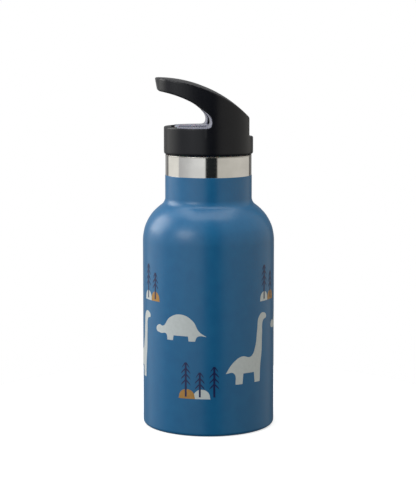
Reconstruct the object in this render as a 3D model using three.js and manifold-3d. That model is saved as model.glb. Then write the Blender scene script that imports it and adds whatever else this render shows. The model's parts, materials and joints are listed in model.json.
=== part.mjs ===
// Children's insulated water bottle with a screw lid, a hook handle and a folding drinking spout.
// Millimetres, +Z up. The origin is on the bottle's axis, on the surface that it stands on.
// The handle's tip points to -X. Heights are absolute unless a name says otherwise.

import * as THREE from 'three';
import { mergeVertices } from 'three/addons/utils/BufferGeometryUtils.js';
import Module from 'manifold-3d';

const wasm = await Module();
wasm.setup();

// ---------------------------------------------------------------- driving sizes

// Gap kept between pieces that touch, weld or seat on each other.
const gap = 0.3;

// Steel bottle
const bodyRadius = 35;
const sideTop = 99;
const shoulderRadius = 22.5;
const baseCorner = 2;
const baseRingWidth = 2.5;
const neckRadius = 23.05;
const neckFillet = 4.5;
const paintedNeck = 12.1;
const bareNeck = 10;
const paintStep = 0.15;
const shellWall = 0.5;
const linerWall = 0.4;
const vacuumGap = 2.5;
const floorHeight = 8;
const lipThickness = 0.6;

// Bottom plate and what keeps the vacuum
const plateWall = 0.6;
const plateRecess = 1.5;
const dimpleRadius = 5;
const dimpleDepth = 1.3;
const ventHoleRadius = 0.8;
const discRadius = 9;
const discThickness = 0.5;
const getterRadius = 4.2;
const getterThickness = 1.4;
const getterOffset = 17;

// Screw thread, between the liner's neck and the lid's plug
const threadLead = 12;
const threadStarts = 3;
const threadRoot = 1.8;
const threadCrest = 0.9;
const threadHeight = 1.2;
const threadClearance = 0.4;
const threadTopBelowLip = 3.6;
const linerThreadTurn = 0.68;
const plugThreadTurn = 0.45;

// Lid
const lidOverhang = 0.65;
const lidHeight = 14.7;
const skirtEdge = 1.2;
const deckEdge = 1;
const lidWall = 2;
const backFlatDepth = 2.9;
const ledgeHeight = 9.4;

// Handle, from the deck up
const handleRise = 25.9;
const handleReach = 28;
const handleTipThickness = 7;
const handleTipSlant = 1.5;
const handleBackRise = 5;
const rootFaceX = 0;
const rootFillet = 2.7;
const underRise = 7.8;
const outlinePower = 3;

// Spout, folded along -X
const pivotX = 9;
const pivotBelowDeck = 4.5;
const spoutLength = 27.4;
const spoutWidth = 16;
const spoutThickness = 9;
const spoutTipWidth = 13;
const drumRadius = 5.2;
const spoutBore = 2.4;
const spigotRadius = 3.3;
const spigotLength = 7;
const mouthpieceLength = 12;
const spoutSideGap = 1.8;
const wellEndGap = 1.2;
const slotFront = -14;
const slotBackGap = 1.5;
const pinRadius = 1.5;
const pinLength = 10;
const pinInDrum = 4;
const bushRadius = 3.4;
const bushThickness = 1.2;

// Seal between the spout's drum and the drink channel
const sealRadius = 5.5;
const sealBelowDrum = 2.9;

// Plug, gasket, straw and air valve
const plugWall = 2;
const plugDepth = 15;
const flangeThickness = 1.8;
const flangeRim = 1.7;
const gasketWidth = 1;
const gasketHeight = 2.6;
const plugBaseThickness = 1.8;
const channelRadius = 2.2;
const channelWall = 1.3;
const strawRadius = 3.5;
const strawWall = 0.8;
const socketDepth = 8;
const socketWall = 1.4;
const strawAboveFloor = 8.7;
const valveX = -9;
const valveCapRadius = 4;
const valveStemRadius = 1.1;
const valveHoleRadius = 0.7;
const airHoleRadius = 0.9;

// Facets round each kind of piece
const bodySides = 40;
const lidSides = 48;
const smallSides = 20;
const tinySides = 12;

// ---------------------------------------------------------------- levels and radii worked out

const shoulderCentre = bodyRadius - shoulderRadius;
const filletRun = shoulderRadius + neckFillet;
const filletReach = neckRadius + neckFillet - shoulderCentre;
const neckBottom = sideTop + Math.sqrt(filletRun ** 2 - filletReach ** 2);
const paintTop = neckBottom + paintedNeck;
const shellTop = paintTop + bareNeck;
const lipTop = shellTop + gap + lipThickness;
const bareRadius = neckRadius - paintStep;

const linerRadius = bodyRadius - shellWall - vacuumGap;
const mouthRadius = bareRadius - shellWall - gap - linerWall - 0.35;
const plugRadius = mouthRadius - threadClearance - threadHeight;
const ridgeTip = mouthRadius - threadHeight + 0.1;
const threadPitch = threadLead / threadStarts;
const threadTop = lipTop - threadTopBelowLip;

const skirtBottom = lipTop + gap;
const deckTop = skirtBottom + lidHeight;
const lidRadius = neckRadius + lidOverhang;
const cavityRadius = lidRadius - lidWall;
const ledgeTop = skirtBottom + ledgeHeight;
const backX = lidRadius - backFlatDepth;
const handleTop = deckTop + handleRise;

const pivotZ = deckTop - pivotBelowDeck;
const spoutTipX = pivotX - spoutLength;
const wellFloor = pivotZ - spoutThickness / 2 - gap;
const wellHalf = spoutWidth / 2 + spoutSideGap;
const wellEndX = spoutTipX - wellEndGap;
const slotBackX = pivotX + drumRadius + slotBackGap;
const sealBottom = pivotZ - drumRadius - sealBelowDrum;
const pocketRadius = sealRadius + gap;

const plugTop = skirtBottom + gap;
const plugBottom = plugTop - plugDepth;
const plugBaseTop = plugBottom - gap;
const plugBaseBottom = plugBaseTop - plugBaseThickness;
const strawTop = plugBaseBottom - gap;
const strawBottom = floorHeight + linerWall + strawAboveFloor;

// ---------------------------------------------------------------- helpers

const point = (x, y) => new THREE.Vector2(x, y);

// Points along an arc, from one angle to the other, in degrees.
function arc(cx, cy, radius, from, to, steps) {
  const points = [];
  for (let i = 0; i <= steps; i++) {
    const angle = THREE.MathUtils.degToRad(from + ((to - from) * i) / steps);
    points.push(point(cx + radius * Math.cos(angle), cy + radius * Math.sin(angle)));
  }
  return points;
}

// Turns a closed profile of [radius, height] about Z: outside up, then inside down.
function turned(points, sides) {
  return new THREE.LatheGeometry([...points, points[0]], sides).rotateX(Math.PI / 2);
}

// Turns an open profile whose ends are on the axis about Z.
function turnedSolid(points, sides) {
  return new THREE.LatheGeometry(points, sides).rotateX(Math.PI / 2);
}

// Extrudes an outline of [x, y] points up from one height to another.
function standing(points, bottom, top) {
  const options = { depth: top - bottom, bevelEnabled: false, curveSegments: 8 };
  return new THREE.ExtrudeGeometry(new THREE.Shape(points), options).translate(0, 0, bottom);
}

// Extrudes an outline of [x, z] points along Y, evenly to both sides.
function acrossY(points, halfWidth) {
  const options = { depth: 2 * halfWidth, bevelEnabled: false, curveSegments: 8 };
  const geometry = new THREE.ExtrudeGeometry(new THREE.Shape(points), options);
  return geometry.rotateX(Math.PI / 2).translate(0, halfWidth, 0);
}

function block(x0, x1, y0, y1, z0, z1) {
  const geometry = new THREE.BoxGeometry(x1 - x0, y1 - y0, z1 - z0);
  return geometry.translate((x0 + x1) / 2, (y0 + y1) / 2, (z0 + z1) / 2);
}

function rodZ(radius, bottom, top, x, y, sides) {
  const geometry = new THREE.CylinderGeometry(radius, radius, top - bottom, sides);
  return geometry.rotateX(Math.PI / 2).translate(x, y, (bottom + top) / 2);
}

function rodY(radius, y0, y1, x, z, sides) {
  const geometry = new THREE.CylinderGeometry(radius, radius, y1 - y0, sides);
  return geometry.translate(x, (y0 + y1) / 2, z);
}

function rodX(radius, x0, x1, y, z, sides) {
  const geometry = new THREE.CylinderGeometry(radius, radius, x1 - x0, sides);
  return geometry.rotateZ(Math.PI / 2).translate((x0 + x1) / 2, y, z);
}

// A closed geometry as a manifold solid: shared vertices merged, empty triangles dropped.
function solid(geometry) {
  const bare = geometry.clone();
  bare.deleteAttribute('normal');
  bare.deleteAttribute('uv');
  const merged = mergeVertices(bare, 1e-4);
  const triangles = [];
  for (let i = 0; i < merged.index.count; i += 3) {
    const corners = [0, 1, 2].map((k) => merged.index.getX(i + k));
    if (new Set(corners).size === 3) triangles.push(...corners);
  }
  const vertProperties = new Float32Array(merged.attributes.position.array);
  const triVerts = new Uint32Array(triangles);
  return new wasm.Manifold(new wasm.Mesh({ numProp: 3, vertProperties, triVerts }));
}

const joined = (shapes) => shapes.map(solid).reduce((all, next) => all.add(next));

function geometryOf(manifold) {
  const mesh = manifold.getMesh();
  const geometry = new THREE.BufferGeometry();
  const positions = new Float32Array(mesh.vertProperties);
  geometry.setAttribute('position', new THREE.BufferAttribute(positions, 3));
  geometry.setIndex(new THREE.BufferAttribute(new Uint32Array(mesh.triVerts), 1));
  return geometry;
}

// One helical ridge. Its section is a trapezium from a root radius to a tip radius.
function helicalRidge(rootRadius, tipRadius, topHeight, startAngle, turns) {
  const steps = Math.round(turns * 40);
  const positions = [];
  const indices = [];
  for (let i = 0; i <= steps; i++) {
    const back = (2 * Math.PI * turns * i) / steps;
    const angle = startAngle - back;
    const height = topHeight - (threadLead * back) / (2 * Math.PI);
    const section = [
      [rootRadius, -threadRoot / 2],
      [tipRadius, -threadCrest / 2],
      [tipRadius, threadCrest / 2],
      [rootRadius, threadRoot / 2],
    ];
    for (const [radius, rise] of section) {
      positions.push(radius * Math.cos(angle), radius * Math.sin(angle), height + rise);
    }
  }
  const outward = tipRadius > rootRadius;
  const face = (a, b, c) => indices.push(...(outward ? [a, b, c] : [a, c, b]));
  for (let i = 0; i < steps; i++) {
    for (let k = 0; k < 4; k++) {
      const a = 4 * i + k;
      const b = 4 * i + ((k + 1) % 4);
      face(a, b, a + 4);
      face(b, b + 4, a + 4);
    }
  }
  const last = 4 * steps;
  face(0, 2, 1);
  face(0, 3, 2);
  face(last, last + 1, last + 2);
  face(last, last + 2, last + 3);
  const geometry = new THREE.BufferGeometry();
  geometry.setAttribute('position', new THREE.Float32BufferAttribute(positions, 3));
  geometry.setIndex(indices);
  return geometry;
}

// All the thread's starts on one wall. The root is sunk a little into that wall.
function withThread(wall, rootRadius, tipRadius, topHeight, turns) {
  let result = wall;
  for (let start = 0; start < threadStarts; start++) {
    const angle = (2 * Math.PI * start) / threadStarts;
    result = result.add(solid(helicalRidge(rootRadius, tipRadius, topHeight, angle, turns)));
  }
  return result;
}

const group = new THREE.Group();

function add(name, geometry, color, roughness, metalness = 0) {
  const material = new THREE.MeshStandardMaterial({ color, roughness, metalness });
  const mesh = new THREE.Mesh(geometry, material);
  mesh.name = name;
  group.add(mesh);
}

const steel = [0xb9b8b4, 0.32, 1];
const coat = [0x2f6188, 0.5, 0.1];
const black = [0x1c1e22, 0.55];
const smoke = [0x8d8fa3, 0.35];
const silicone = [0xc9c9cf, 0.6];

// ---------------------------------------------------------------- steel bottle

// The shell's outline at a distance inside its outer face, from the base ring to the neck.
function shellSide(inset) {
  const filletAngle = THREE.MathUtils.radToDeg(Math.asin((neckBottom - sideTop) / filletRun));
  const neck = neckRadius + neckFillet;
  return [
    ...arc(bodyRadius - baseCorner, baseCorner, baseCorner - inset, -90, 0, 4),
    ...arc(shoulderCentre, sideTop, shoulderRadius - inset, 0, filletAngle, 8),
    ...arc(neck, neckBottom, neckFillet + inset, 180 + filletAngle, 180, 4).slice(1),
  ];
}

function outerShell() {
  const ringInside = bodyRadius - baseCorner - baseRingWidth;
  const outside = [
    point(ringInside, 0),
    ...shellSide(0),
    point(neckRadius, paintTop),
    point(bareRadius, paintTop + paintStep),
    point(bareRadius, shellTop),
  ];
  const inside = [
    ...shellSide(shellWall),
    point(bareRadius - shellWall, paintTop),
    point(bareRadius - shellWall, shellTop),
  ];
  return turned([...outside, ...inside.reverse(), point(ringInside, shellWall)], bodySides);
}

// The liner's outline, from the bottom of its wall to the top of its shoulder.
function linerSide(inset) {
  const radius = linerRadius - inset;
  const neck = mouthRadius + linerWall - inset;
  const shoulder = radius - shoulderCentre;
  const meets = THREE.MathUtils.radToDeg(Math.acos((neck - shoulderCentre) / shoulder));
  return [point(radius, floorHeight), ...arc(shoulderCentre, sideTop, shoulder, 0, meets, 8)];
}

function innerLiner() {
  const profile = [
    ...linerSide(0),
    point(mouthRadius + linerWall, shellTop),
    point(mouthRadius + linerWall, lipTop - lipThickness),
    ...arc(bareRadius - lipThickness / 2, lipTop - lipThickness / 2, lipThickness / 2, -90, 90, 4),
    point(mouthRadius + 0.2, lipTop),
    point(mouthRadius, lipTop - 0.2),
    ...linerSide(linerWall).reverse(),
  ];
  const wall = solid(turned(profile, bodySides));
  const sunk = mouthRadius + linerWall / 2;
  return geometryOf(withThread(wall, sunk, ridgeTip, threadTop, linerThreadTurn));
}

// A disc let into the bottom of the liner's wall and welded round its edge.
function linerFloor() {
  const rim = linerRadius - linerWall - gap;
  const top = floorHeight + linerWall;
  return turnedSolid(
    [point(0, floorHeight), point(rim, floorHeight), point(rim, top), point(0, top)],
    bodySides,
  );
}

function bottomPlate() {
  const rim = bodyRadius - baseCorner - baseRingWidth - gap;
  const under = plateRecess;
  const over = plateRecess + plateWall;
  const dimple = plateRecess + dimpleDepth;
  return turned(
    [
      point(ventHoleRadius, dimple),
      point(dimpleRadius - 1, dimple),
      point(dimpleRadius, under),
      point(rim - 3, under),
      ...arc(rim - 3, under - 1.1, 1.1, 90, 30, 2).slice(1),
      point(rim, gap),
      point(rim, gap + plateWall),
      ...arc(rim - 3, under - 1.1, 1.1 + plateWall, 30, 90, 2),
      point(dimpleRadius, over),
      point(dimpleRadius - 1, dimple + plateWall),
      point(ventHoleRadius, dimple + plateWall),
    ],
    bodySides,
  );
}

// A drop of solder glass fills the dimple round the vent hole.
function vacuumSeal() {
  const top = plateRecess + dimpleDepth - gap;
  const bottom = plateRecess + 0.1;
  const radius = dimpleRadius - 1 - gap;
  return turnedSolid(
    [point(0, bottom), ...arc(0, bottom + radius, radius, -90, -52, 3).slice(1, 3),
      point(radius, top), point(0, top)],
    smallSides,
  );
}

// A thin stuck-on disc hides the dimple.
function baseDisc() {
  const top = plateRecess - gap;
  const edge = 0.15;
  const bottom = top - discThickness;
  return turnedSolid(
    [point(0, bottom), point(discRadius - edge, bottom), point(discRadius, bottom + edge),
      point(discRadius, top), point(0, top)],
    smallSides * 2,
  );
}

// A pressed cup on the plate holds the getter pill that keeps the vacuum.
function getterHolder() {
  const floor = plateRecess + plateWall + gap;
  const inside = getterRadius + gap;
  const profile = [
    point(0, floor),
    point(inside + 0.4, floor),
    point(inside + 0.4, floor + 0.4 + gap + getterThickness),
    point(inside, floor + 0.4 + gap + getterThickness),
    point(inside, floor + 0.4),
    point(0, floor + 0.4),
  ];
  return turnedSolid(profile, smallSides).translate(getterOffset, 0, 0);
}

function getter() {
  const bottom = plateRecess + plateWall + 2 * gap + 0.4;
  return rodZ(getterRadius, bottom, bottom + getterThickness, getterOffset, 0, smallSides);
}

// ---------------------------------------------------------------- lid shell

// Seen from above: round at the back, a fuller rounded oval towards the handle's tip.
function lidOutline() {
  const points = [];
  for (let i = 0; i <= lidSides / 2; i++) {
    const angle = -Math.PI / 2 + (2 * Math.PI * i) / lidSides;
    points.push(point(lidRadius * Math.cos(angle), lidRadius * Math.sin(angle)));
  }
  const steps = 12;
  for (let i = 1; i < 2 * steps; i++) {
    const along = Math.PI / 2 - (Math.PI * i) / (2 * steps);
    const x = -handleReach * Math.abs(Math.cos(along)) ** (2 / outlinePower);
    const y = lidRadius * Math.sign(along) * Math.abs(Math.sin(along)) ** (2 / outlinePower);
    points.push(point(x, y));
  }
  return points;
}

// The handle seen from the side: crest, tip, underside, root face and the part in the lid.
function handleSide() {
  const shape = new THREE.Shape();
  const tipBottomX = -handleReach + handleTipSlant;
  const tipBottomZ = handleTop - handleTipThickness;
  const underZ = deckTop + underRise;
  const backTop = deckTop + handleBackRise;
  shape.moveTo(backX, ledgeTop);
  shape.lineTo(backX, backTop);
  shape.bezierCurveTo(5.5, handleTop - 4.6, -12.5, handleTop + 0.2, -handleReach, handleTop - 0.1);
  shape.lineTo(tipBottomX, tipBottomZ);
  shape.bezierCurveTo(-18, tipBottomZ - 1.4, -8.5, tipBottomZ - 5.4, rootFaceX - 2.6, underZ);
  shape.quadraticCurveTo(rootFaceX - 0.3, underZ - 2, rootFaceX, underZ - 4.4);
  shape.lineTo(rootFaceX, deckTop + rootFillet);
  shape.quadraticCurveTo(rootFaceX, deckTop, rootFaceX - rootFillet, deckTop);
  shape.lineTo(rootFaceX - rootFillet, ledgeTop);
  shape.closePath();
  return shape.getPoints(10).slice(0, -1);
}

function lidShell() {
  const cover = turnedSolid(
    [
      point(0, skirtBottom),
      ...arc(lidRadius - skirtEdge, skirtBottom + skirtEdge, skirtEdge, -90, 0, 3),
      ...arc(lidRadius - deckEdge, deckTop - deckEdge, deckEdge, 0, 90, 3),
      point(0, deckTop),
    ],
    lidSides,
  );
  const handle = solid(acrossY(handleSide(), 2 * lidRadius)).intersect(
    solid(standing(lidOutline(), ledgeTop - 1, handleTop + 1)),
  );
  const backCut = solid(block(backX, 2 * lidRadius, -lidRadius, lidRadius, ledgeTop, deckTop + 1));

  // hollow under the deck, with the spout's well left standing in it
  const roof = deckTop - lidWall;
  const hollow = solid(rodZ(cavityRadius, skirtBottom - 1, roof, 0, 0, lidSides));
  const wellBlock = joined([
    block(wellEndX - lidWall, slotBackX + lidWall, -wellHalf - lidWall, wellHalf + lidWall,
      wellFloor - lidWall, roof + 0.5),
    rodZ(pocketRadius + lidWall, sealBottom - gap - lidWall, wellFloor, pivotX, 0, smallSides),
  ]).intersect(solid(rodZ(lidRadius - lidWall / 2, skirtBottom, roof + 0.5, 0, 0, lidSides)));
  let shell = solid(cover).add(handle).subtract(backCut).subtract(hollow.subtract(wellBlock));

  // well, slot through the handle, seal pocket, channel hole, pin holes and air hole
  const cuts = [
    block(wellEndX, slotBackX, -wellHalf, wellHalf, wellFloor, deckTop + gap),
    block(slotFront, slotBackX, -wellHalf, wellHalf, deckTop, handleTop + 1),
    rodZ(pocketRadius, sealBottom - gap, wellFloor + 1, pivotX, 0, smallSides),
    rodZ(channelRadius + channelWall + gap, sealBottom - 2 * lidWall, sealBottom, pivotX, 0,
      smallSides),
    rodY(pinRadius + gap, -pinInDrum - pinLength - gap, pinInDrum + pinLength + gap, pivotX,
      pivotZ, smallSides),
    rodY(drumRadius + gap, -wellHalf, wellHalf, pivotX, pivotZ, smallSides * 2),
    rodZ(airHoleRadius, wellFloor - lidWall - 1, wellFloor + 1, valveX, 0, tinySides),
  ];
  for (const cut of cuts) shell = shell.subtract(solid(cut));

  // cored pockets keep the handle's root at an even wall
  const coreTop = deckTop + handleBackRise - lidWall;
  const pinWall = wellHalf + lidWall;
  for (const side of [-1, 1]) {
    const near = side * (pinWall + 2.5);
    const core = block(rootFaceX + lidWall, backX - lidWall, Math.min(near, side * lidRadius),
      Math.max(near, side * lidRadius), roof - 1, coreTop);
    const inside = rodZ(lidRadius - lidWall, roof - 1, coreTop, 0, 0, lidSides);
    shell = shell.subtract(solid(core).intersect(solid(inside)));
  }
  return geometryOf(shell);
}

// ---------------------------------------------------------------- spout

// The spout from above, between two distances from the pivot, and rounded at its tip.
function spoutOutline(near, far, tipRound) {
  const half = (distance) =>
    THREE.MathUtils.lerp(spoutWidth / 2, spoutTipWidth / 2, distance / spoutLength);
  const tip = half(far) - tipRound;
  return [
    point(pivotX - near, -half(near)),
    point(pivotX - near, half(near)),
    ...arc(pivotX - far + tipRound, tip, tipRound, 90, 180, 4),
    ...arc(pivotX - far + tipRound, -tip, tipRound, 180, 270, 4),
  ];
}

// The spout from the side, with its far end's corners rounded.
function spoutSide(near, far, tipRound) {
  const half = spoutThickness / 2;
  const tip = half - tipRound;
  return [
    point(pivotX - near, pivotZ - half),
    point(pivotX - near, pivotZ + half),
    ...arc(pivotX - far + tipRound, pivotZ + tip, tipRound, 90, 180, 4),
    ...arc(pivotX - far + tipRound, pivotZ - tip, tipRound, 180, 270, 4),
  ];
}

function spoutBlock(near, far, planRound, sideRound) {
  const plan = standing(spoutOutline(near, far, planRound), pivotZ - 20, pivotZ + 20);
  return solid(acrossY(spoutSide(near, far, sideRound), spoutWidth)).intersect(solid(plan));
}

const carrierEnd = spoutLength - mouthpieceLength;

function spout() {
  const drum = rodY(drumRadius, -spoutWidth / 2, spoutWidth / 2, pivotX, pivotZ, smallSides * 2);
  const spigot = rodX(spigotRadius, pivotX - carrierEnd - spigotLength, pivotX - carrierEnd + 1,
    0, pivotZ, smallSides);
  const bore = rodX(spoutBore, spoutTipX - 1, pivotX + drumRadius + 1, 0, pivotZ, smallSides);
  const pinInside = spoutWidth / 2 - pinInDrum - gap;
  let result = solid(drum).add(spoutBlock(0, carrierEnd, 0.4, 0.4)).add(solid(spigot));
  result = result.subtract(solid(bore));
  for (const side of [-1, 1]) {
    const ends = [side * pinInside, side * (spoutWidth / 2 + 1)].sort((a, b) => a - b);
    const hole = rodY(pinRadius + gap, ends[0], ends[1], pivotX, pivotZ, smallSides);
    result = result.subtract(solid(hole));
  }
  return geometryOf(result);
}

// Soft mouthpiece, pushed over the spout's spigot.
function mouthpiece() {
  const socket = rodX(spigotRadius + gap, pivotX - carrierEnd - spigotLength - gap,
    pivotX - carrierEnd + 1, 0, pivotZ, smallSides);
  const bore = rodX(spoutBore, spoutTipX - 1, pivotX - carrierEnd, 0, pivotZ, smallSides);
  const body = spoutBlock(carrierEnd + gap, spoutLength, 3.5, 3);
  return geometryOf(body.subtract(solid(socket)).subtract(solid(bore)));
}

function spoutPin(side) {
  const inner = side * (spoutWidth / 2 - pinInDrum);
  const outer = inner + side * pinLength;
  return rodY(pinRadius, Math.min(inner, outer), Math.max(inner, outer), pivotX, pivotZ,
    smallSides);
}

// A silicone washer on each pin gives the spout its drag.
function pinBush(side) {
  const middle = side * (spoutWidth / 2 + spoutSideGap / 2);
  const half = bushThickness / 2;
  const ring = rodY(bushRadius, middle - half, middle + half, pivotX, pivotZ, smallSides);
  const hole = rodY(pinRadius + gap, middle - 1, middle + 1, pivotX, pivotZ, smallSides);
  return geometryOf(solid(ring).subtract(solid(hole)));
}

// A saddle that the spout's drum turns against.
function spoutSeal() {
  const saddle = rodZ(sealRadius, sealBottom, wellFloor, pivotX, 0, smallSides);
  const drum = rodY(drumRadius + gap, -sealRadius - 1, sealRadius + 1, pivotX, pivotZ,
    smallSides * 2);
  const hole = rodZ(channelRadius, sealBottom - 1, pivotZ, pivotX, 0, smallSides);
  return geometryOf(solid(saddle).subtract(solid(drum)).subtract(solid(hole)));
}

// ---------------------------------------------------------------- plug, gasket, straw and valve

function lidPlug() {
  const inside = plugRadius - plugWall;
  const flange = cavityRadius - gap;
  const ring = turned(
    [
      point(inside, plugBottom),
      point(plugRadius - 0.5, plugBottom),
      point(plugRadius, plugBottom + 0.5),
      point(plugRadius, plugTop),
      point(flange, plugTop),
      point(flange, plugTop + flangeThickness),
      point(inside, plugTop + flangeThickness),
    ],
    lidSides,
  );
  const tip = plugRadius + threadHeight;
  const top = threadTop - threadPitch / 2 + gap;
  const sunk = plugRadius - plugWall / 4;
  return geometryOf(withThread(solid(ring), sunk, tip, top, plugThreadTurn));
}

function neckGasket() {
  const inside = plugRadius + gap;
  const outside = inside + gasketWidth;
  const top = plugTop - gap;
  const bottom = top - gasketHeight;
  return turned(
    [
      point(inside, bottom),
      point(outside - 0.3, bottom),
      point(outside, bottom + 0.3),
      point(outside, top - 0.3),
      point(outside - 0.3, top),
      point(inside, top),
    ],
    lidSides,
  );
}

// Closes the plug from below, with the drink channel up to the seal and the straw's socket.
function plugBase() {
  const socketRadius = strawRadius + gap + socketWall;
  let base = joined([
    rodZ(plugRadius, plugBaseBottom, plugBaseTop, 0, 0, lidSides),
    rodZ(channelRadius + channelWall, plugBaseTop - 0.5, sealBottom - gap, pivotX, 0, smallSides),
    rodZ(socketRadius, plugBaseBottom - socketDepth, plugBaseBottom + 0.5, pivotX, 0, smallSides),
  ]);
  const cuts = [
    rodZ(channelRadius, plugBaseBottom - 1, sealBottom + 1, pivotX, 0, smallSides),
    rodZ(strawRadius + gap, plugBaseBottom - socketDepth - 1, plugBaseBottom, pivotX, 0,
      smallSides),
    rodZ(valveStemRadius + gap, plugBaseBottom - 1, plugBaseTop + 1, valveX, 0, tinySides),
  ];
  for (let i = 0; i < 3; i++) {
    const angle = (2 * Math.PI * i) / 3;
    const away = (valveStemRadius + valveCapRadius) / 2;
    const x = valveX + away * Math.cos(angle);
    const y = away * Math.sin(angle);
    cuts.push(rodZ(valveHoleRadius, plugBaseBottom - 1, plugBaseTop + 1, x, y, tinySides));
  }
  for (const cut of cuts) base = base.subtract(solid(cut));
  return geometryOf(base);
}

// A silicone umbrella lets air in through the plug's base as the child drinks.
function ventValve() {
  const capTop = plugBaseBottom - gap;
  const beadBottom = plugBaseTop + gap;
  const profile = [
    point(0, capTop - 1.1),
    point(valveCapRadius * 0.6, capTop - 0.9),
    point(valveCapRadius, capTop - 0.3),
    point(valveCapRadius, capTop),
    point(valveStemRadius, capTop),
    point(valveStemRadius, beadBottom),
    point(valveStemRadius + 0.8, beadBottom),
    point(valveStemRadius + 0.8, beadBottom + 0.5),
    point(valveStemRadius * 0.7, beadBottom + 2.4),
    point(0, beadBottom + 2.4),
  ];
  return turnedSolid(profile, tinySides).translate(valveX, 0, 0);
}

function straw() {
  const inside = strawRadius - strawWall;
  const edge = 0.2;
  const profile = [
    point(inside, strawBottom),
    point(strawRadius - edge, strawBottom),
    point(strawRadius, strawBottom + edge),
    point(strawRadius, strawTop - edge),
    point(strawRadius - edge, strawTop),
    point(inside, strawTop),
  ];
  return turned(profile, smallSides).translate(pivotX, 0, 0);
}

// ---------------------------------------------------------------- assembly

add('outer_shell', outerShell(), ...coat);
add('inner_liner', innerLiner(), ...steel);
add('liner_floor', linerFloor(), ...steel);
add('bottom_plate', bottomPlate(), ...steel);
add('vacuum_seal', vacuumSeal(), 0x3a3a38, 0.3);
add('base_disc', baseDisc(), ...steel);
add('getter_holder', getterHolder(), ...steel);
add('getter', getter(), 0x6e6c68, 0.8, 0.4);

add('lid_shell', lidShell(), ...black);
add('lid_plug', lidPlug(), ...black);
add('plug_base', plugBase(), ...black);
add('neck_gasket', neckGasket(), ...silicone);
add('vent_valve', ventValve(), ...silicone);
add('spout_seal', spoutSeal(), ...silicone);
add('straw', straw(), 0xdfe3e6, 0.4);

add('spout', spout(), ...smoke);
add('mouthpiece', mouthpiece(), ...smoke);
for (const [side, name] of [[-1, 'near'], [1, 'far']]) {
  add(`spout_pin_${name}`, spoutPin(side), ...steel);
  add(`pin_bush_${name}`, pinBush(side), ...silicone);
}

export default group;
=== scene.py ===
"""Children's insulated water bottle: steel bottle, screw lid with a hook handle, folding spout.

Everything is drawn in millimetres on the row's own axes and scaled to metres at the end.
"""

import json
import math

import bmesh
import bpy
from mathutils import Matrix, Vector


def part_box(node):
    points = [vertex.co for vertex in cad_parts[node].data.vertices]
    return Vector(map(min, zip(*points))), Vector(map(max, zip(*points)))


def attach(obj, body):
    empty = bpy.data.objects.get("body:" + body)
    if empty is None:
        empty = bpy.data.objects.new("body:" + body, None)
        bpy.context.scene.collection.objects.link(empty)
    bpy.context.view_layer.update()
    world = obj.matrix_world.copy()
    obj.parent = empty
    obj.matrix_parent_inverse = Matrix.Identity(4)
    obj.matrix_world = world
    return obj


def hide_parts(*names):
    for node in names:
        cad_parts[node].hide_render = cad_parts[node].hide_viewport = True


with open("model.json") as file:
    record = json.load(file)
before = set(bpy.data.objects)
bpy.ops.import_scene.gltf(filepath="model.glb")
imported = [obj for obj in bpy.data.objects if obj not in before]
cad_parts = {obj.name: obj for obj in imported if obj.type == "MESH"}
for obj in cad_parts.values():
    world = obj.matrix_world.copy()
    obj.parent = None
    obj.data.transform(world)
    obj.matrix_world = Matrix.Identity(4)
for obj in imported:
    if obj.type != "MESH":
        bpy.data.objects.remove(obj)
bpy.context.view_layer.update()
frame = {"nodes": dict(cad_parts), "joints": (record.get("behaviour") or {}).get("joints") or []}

MM = 0.001

# ------------------------------------------------------------------ sizes, from the frame


def box_mm(node):
    """A node's lowest and highest corner, in millimetres."""
    low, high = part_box(node)
    return low / MM, high / MM


_, shell_high = box_mm("outer_shell")
liner_low, liner_high = box_mm("inner_liner")
lid_low, lid_high = box_mm("lid_shell")
plug_low, plug_high = box_mm("lid_plug")
base_low, base_high = box_mm("plug_base")
gasket_low, gasket_high = box_mm("neck_gasket")
straw_low, straw_high = box_mm("straw")
spout_low, spout_high = box_mm("spout")
tip_low, tip_high = box_mm("mouthpiece")
plate_low, plate_high = box_mm("bottom_plate")
disc_low, disc_high = box_mm("base_disc")
valve_low, valve_high = box_mm("vent_valve")
pivot = next(j for j in frame["joints"] if j["name"] == "spout_flip")["pos_m"]
PIVOT_X, PIVOT_Z = pivot[0] / MM, pivot[2] / MM

# Bottle
BODY_RADIUS = shell_high.x
SHELL_TOP = shell_high.z
LIP_TOP = liner_high.z
FLOOR = liner_low.z
LINER_RADIUS = liner_high.x
SIDE_TOP = 99
SHOULDER_ROUND = 22.5
NECK_RADIUS = 23.05
NECK_FILLET = 4.5
PAINTED_NECK = 12.1
PAINT_STEP = 0.15
SHELL_WALL = 0.5
LINER_WALL = 0.4
BASE_ROUND = 2
BASE_RING = 2.5

# Lid
SKIRT_BOTTOM = lid_low.z
LID_RADIUS = lid_high.y
HANDLE_TOP = lid_high.z
SOFTENED_AWAY = 0.3
HANDLE_REACH = -lid_low.x + SOFTENED_AWAY
SKIRT_HEIGHT = 14.7
DECK = SKIRT_BOTTOM + SKIRT_HEIGHT
LEDGE_HEIGHT = 9.4
LEDGE = SKIRT_BOTTOM + LEDGE_HEIGHT
BACK_FLAT = 2.9
BACK = LID_RADIUS - BACK_FLAT
BACK_TOP = DECK + 5
HANDLE_UNDER = DECK + 7.8
HANDLE_ROOT = -2.7
GAP = 0.3
SPOUT_WIDTH = spout_high.y - spout_low.y
CHANNEL_RADIUS = 2.4
PIN_HOLE_RADIUS = 1.8

# Thread
LEAD = 12
STARTS = 3
PITCH = LEAD / STARTS

ROUND_STEPS = 160
SHARP_EDGE = math.radians(38)


# ------------------------------------------------------------------ mesh helpers


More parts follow.
